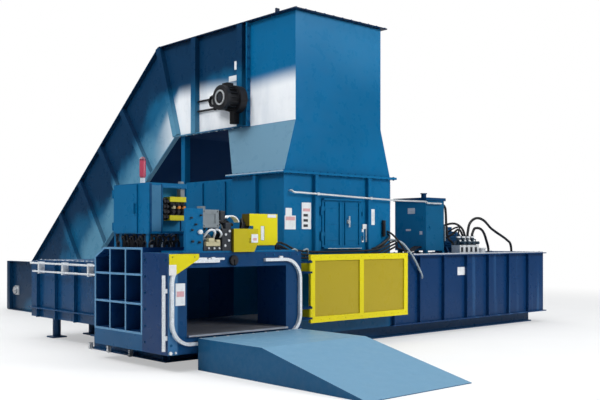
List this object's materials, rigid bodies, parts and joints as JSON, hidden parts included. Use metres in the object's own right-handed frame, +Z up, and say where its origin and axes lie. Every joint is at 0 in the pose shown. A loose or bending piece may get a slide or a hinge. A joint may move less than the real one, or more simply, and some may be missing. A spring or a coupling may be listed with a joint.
{
  "type": "recycling baler",
  "caption": "Horizontal recycling baler with a hopper fed by a sloping conveyor, a main ram, a side ejector, a wire tier at the bale exit and a bale ramp.",
  "frame": {"origin": "on the floor, under the middle of the machine's overall length and width", "axes": "+X from the bale exit towards the main cylinder, +Y from the bale ramp towards the feed conveyor, +Z up"},
  "size_m": [8.465, 12.23, 4.64],
  "materials": {
    "paint": "gloss machine enamel",
    "paint_dark": "gloss machine enamel, darker",
    "yellow": "gloss safety enamel",
    "wear_steel": "worn plate",
    "galvanised": "zinc plated",
    "chrome": "hard chrome",
    "cast": "black paint over cast iron",
    "alloy": "machined",
    "white": "moulded white plastic",
    "rubber": "hydraulic hose cover",
    "beacon": "red lens"
  },
  "bodies": {
    "machine": {"base_frame": "paint", "feet": "paint_dark", "floor_liner": "wear_steel", "bale_chamber": "paint", "charging_box": "paint", "shear_blade": "wear_steel", "hopper": "paint", "conveyor_frame_left": "paint", "conveyor_frame_right": "paint", "skirt_left": "paint_dark", "skirt_right": "paint_dark", "conveyor_pan": "paint_dark", "conveyor_legs": "paint", "slat_belt": "wear_steel", "shaft_bearings": "galvanised", "takeup_rods": "cast", "drive_reducer": "cast", "drive_motor": "cast", "ram_housing": "paint", "housing_cover": "paint", "main_cylinder": "paint_dark", "ejector_housing": "paint", "ejector_cylinder": "paint_dark", "ejector_pipes": "galvanised", "tier_frame": "paint", "wire_track": "galvanised", "guide_tube": "galvanised", "corner_guard": "yellow", "tier_bed": "paint", "twister_body": "galvanised", "feed_motors": "cast", "wire_hood": "white", "tier_cover_left": "yellow", "tier_cover_right": "yellow", "guard_hinges": "paint_dark", "ramp": "paint", "oil_reservoir": "paint", "reservoir_lid": "paint", "pump_motor": "paint_dark", "valve_manifold": "alloy", "hydraulic_hoses": "rubber", "conduit": "galvanised", "electrical_box": "paint", "valve_bank": "cast", "beacon": "beacon"},
    "main_ram": {"main_ram": "paint_dark", "ram_blade": "wear_steel", "main_rod": "chrome"},
    "ejector_ram": {"ejector_platen": "paint_dark", "ejector_rod": "chrome"},
    "left_access_door": {"access_door_left": "paint"},
    "right_access_door": {"access_door_right": "paint"},
    "access_door_handle": {"door_handle": "galvanised"},
    "guard_door": {"guard_door": "yellow"},
    "head_drum": {"head_shaft": "wear_steel"},
    "tail_drum": {"tail_shaft": "wear_steel"},
    "wire_feed_wheel": {"feed_wheel": "white"},
    "wire_pinch_wheel": {"pinch_wheel": "galvanised"},
    "wire_twister": {"twister_pinion": "galvanised"},
    "electrical_cabinet_door": {"electrical_door": "paint"}
  },
  "joints": [
    {"name": "main_ram_stroke", "type": "slide", "parent": "machine", "child": "main_ram", "axis": [-1, 0, 0], "range_m": [0, 2.5]},
    {"name": "ejector_stroke", "type": "slide", "parent": "machine", "child": "ejector_ram", "axis": [0, -1, 0], "range_m": [0, 1.65]},
    {"name": "left_door_hinge", "type": "hinge", "parent": "machine", "child": "left_access_door", "pos_m": [-1.3275, -2.9333, 1.8], "axis": [0, 0, 1], "range_deg": [-110, 0]},
    {"name": "right_door_hinge", "type": "hinge", "parent": "machine", "child": "right_access_door", "pos_m": [-0.5075, -2.9333, 1.8], "axis": [0, 0, 1], "range_deg": [0, 110]},
    {"name": "door_handle_turn", "type": "hinge", "parent": "right_access_door", "child": "access_door_handle", "pos_m": [-0.8125, -2.955, 1.73], "axis": [0, 1, 0], "range_deg": [0, 90]},
    {"name": "guard_door_hinge", "type": "hinge", "parent": "machine", "child": "guard_door", "pos_m": [-1.9575, -3.385, 0.8], "axis": [0, 0, 1], "range_deg": [-178, 0]},
    {"name": "head_drum_spin", "type": "hinge", "parent": "machine", "child": "head_drum", "pos_m": [-0.9575, -1.295, 3.504], "axis": [1, 0, 0], "continuous": true},
    {"name": "tail_drum_spin", "type": "hinge", "parent": "machine", "child": "tail_drum", "pos_m": [-0.9575, 5.775, 0.414], "axis": [1, 0, 0], "continuous": true},
    {"name": "feed_wheel_spin", "type": "hinge", "parent": "machine", "child": "wire_feed_wheel", "pos_m": [-3.5975, -3.35, 1.46], "axis": [0, 1, 0], "continuous": true},
    {"name": "pinch_wheel_spin", "type": "hinge", "parent": "machine", "child": "wire_pinch_wheel", "pos_m": [-3.4045, -3.35, 1.46], "axis": [0, 1, 0], "continuous": true},
    {"name": "twister_spin", "type": "hinge", "parent": "machine", "child": "wire_twister", "pos_m": [-3.26, -3.465, 1.2356], "axis": [0, 1, 0], "continuous": true},
    {"name": "cabinet_door_hinge", "type": "hinge", "parent": "machine", "child": "electrical_cabinet_door", "pos_m": [-4.0715, -2.09, 1.85], "axis": [0, 0, 1], "range_deg": [-110, 0]}
  ],
  "couplings": [
    {"joint": "tail_drum_spin", "follows": "head_drum_spin", "ratio": 1},
    {"joint": "pinch_wheel_spin", "follows": "feed_wheel_spin", "ratio": -1}
  ]
}
